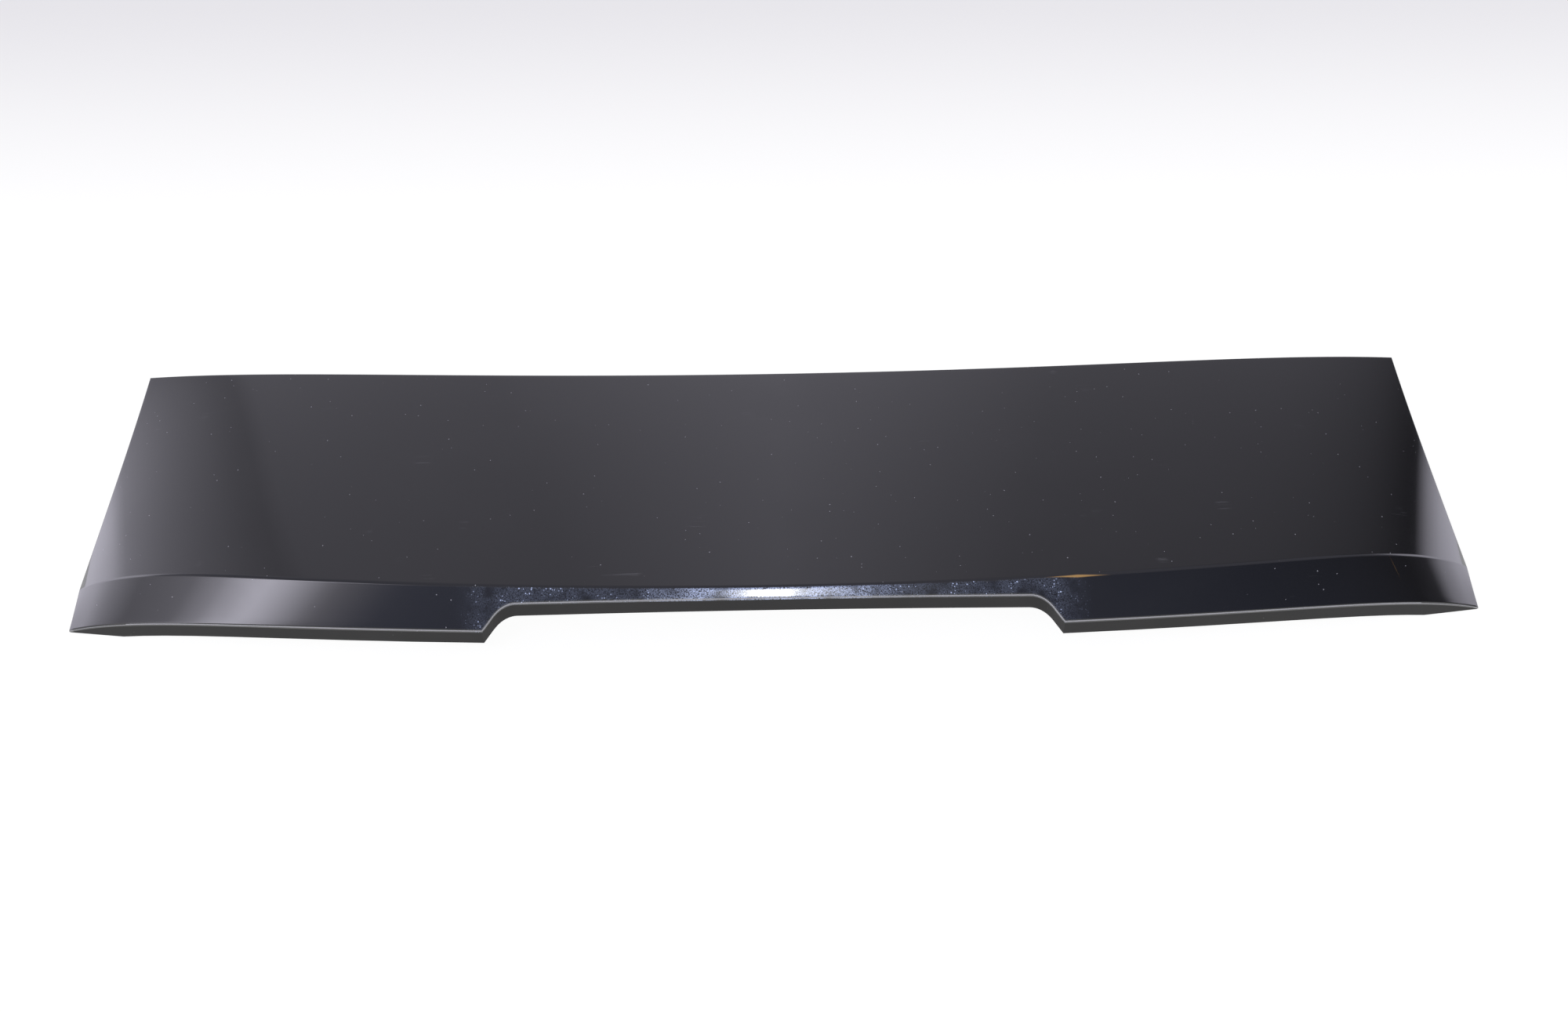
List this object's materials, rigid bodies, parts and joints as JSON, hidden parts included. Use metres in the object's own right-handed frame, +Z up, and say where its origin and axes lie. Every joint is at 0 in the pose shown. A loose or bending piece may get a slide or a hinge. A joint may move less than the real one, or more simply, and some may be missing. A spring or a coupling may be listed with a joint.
{
  "type": "tailgate spoiler",
  "caption": "Gloss black moulded roof-edge spoiler for a hatchback tailgate, with a notch for the high-level brake lamp, return flanges, ribs, studs and push clips underneath.",
  "frame": {"origin": "under the middle of the part's box, on the plane that its two ends rest on", "axes": "+X across the car to the right as seen from behind, +Y forwards to the roof, +Z up"},
  "size_m": [1.12, 0.3296, 0.0539],
  "materials": {
    "gloss_black_paint": "high-gloss black paint on moulded plastic",
    "plated_steel": "zinc-plated steel",
    "seal_foam": "closed-cell foam, matt black",
    "clip_nylon": "natural nylon"
  },
  "bodies": {
    "root": {"spoiler_panel": "gloss_black_paint", "mounting_studs": "plated_steel", "stud_seals": "seal_foam", "push_clips": "clip_nylon"}
  },
  "joints": []
}
